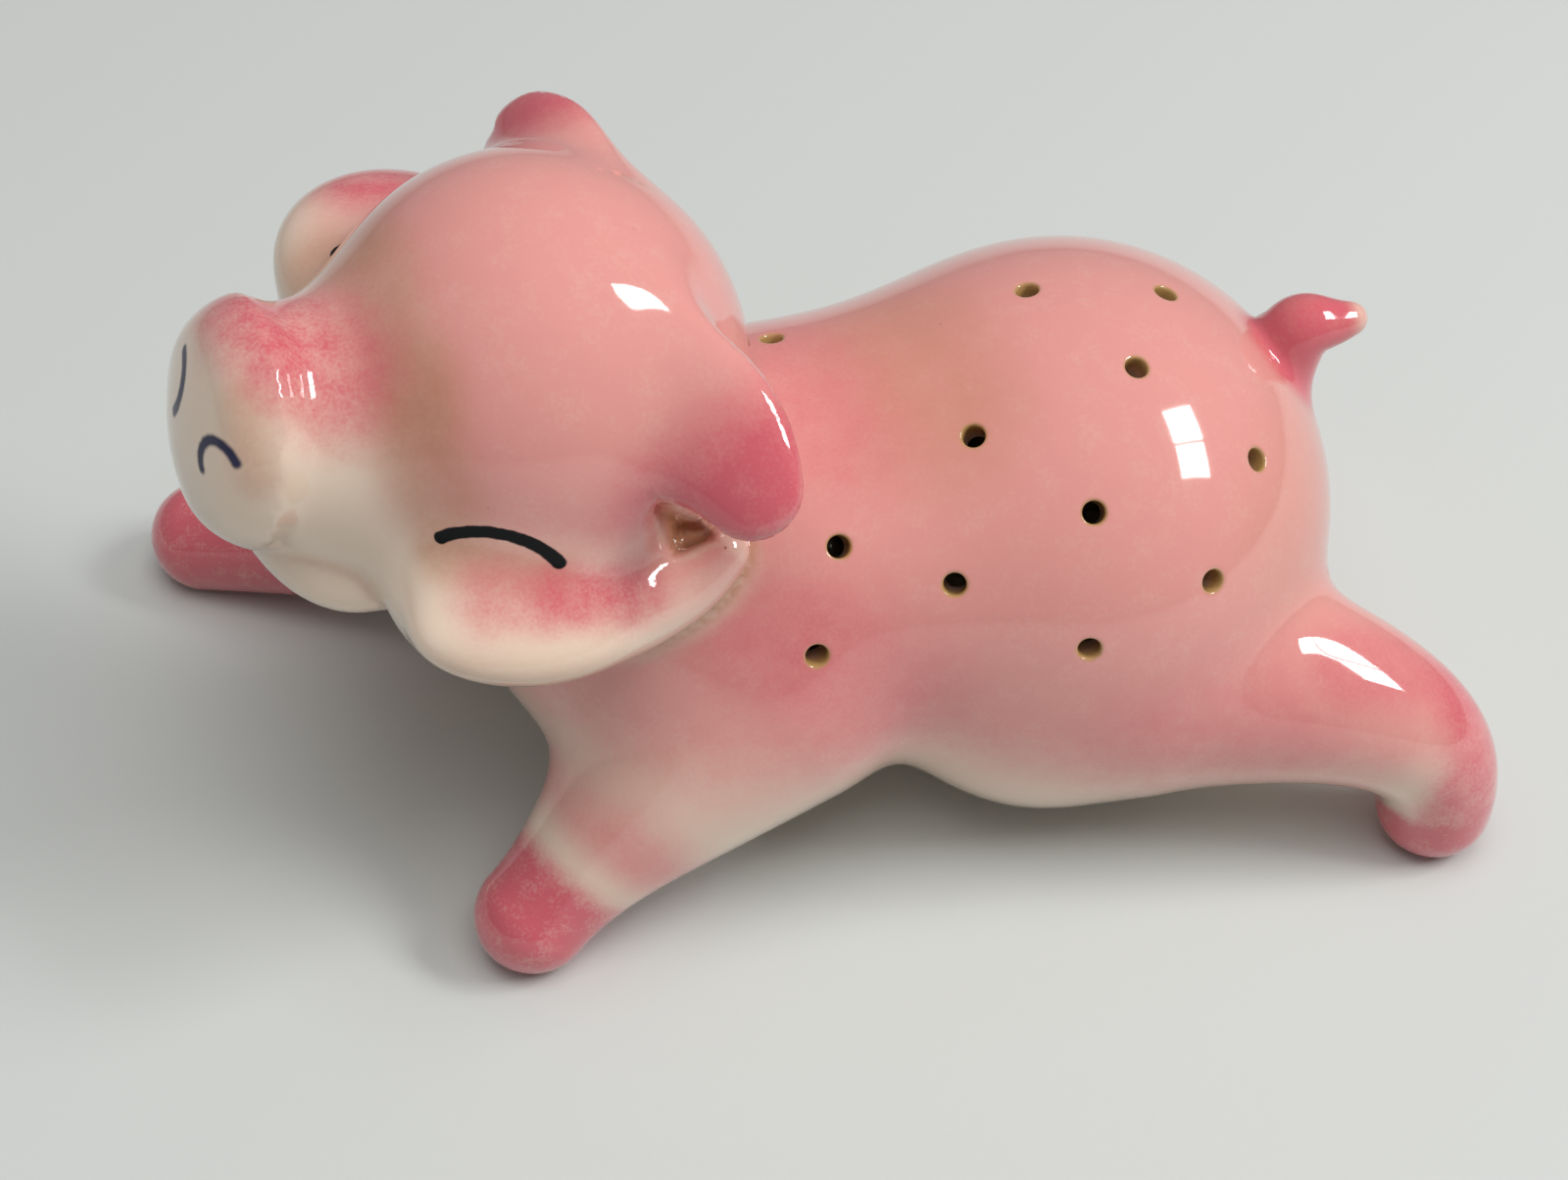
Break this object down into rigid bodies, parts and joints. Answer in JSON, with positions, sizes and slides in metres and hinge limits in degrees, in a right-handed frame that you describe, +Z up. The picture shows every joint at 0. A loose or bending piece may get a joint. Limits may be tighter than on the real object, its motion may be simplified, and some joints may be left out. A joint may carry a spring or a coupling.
{
  "type": "pig figurine pick holder",
  "caption": "Hollow glazed ceramic pig in mid-stride with small holes over its back that hold cocktail picks.",
  "frame": {"origin": "on the ground under the middle of the whole pig", "axes": "+X towards the tail, -Y the pig's left side, +Z up"},
  "size_m": [0.1643, 0.0948, 0.0927],
  "materials": {
    "pink_glaze": "high gloss clear glaze over airbrushed pink on cream",
    "rose_glaze": "high gloss clear glaze over deep rose"
  },
  "bodies": {
    "root": {"back_shell": "pink_glaze", "belly_shell": "pink_glaze", "head_shell": "pink_glaze", "left_ear": "rose_glaze", "right_ear": "rose_glaze", "front_left_leg": "pink_glaze", "front_right_leg": "pink_glaze", "rear_left_leg": "pink_glaze", "rear_right_leg": "pink_glaze", "tail": "rose_glaze"}
  },
  "joints": []
}
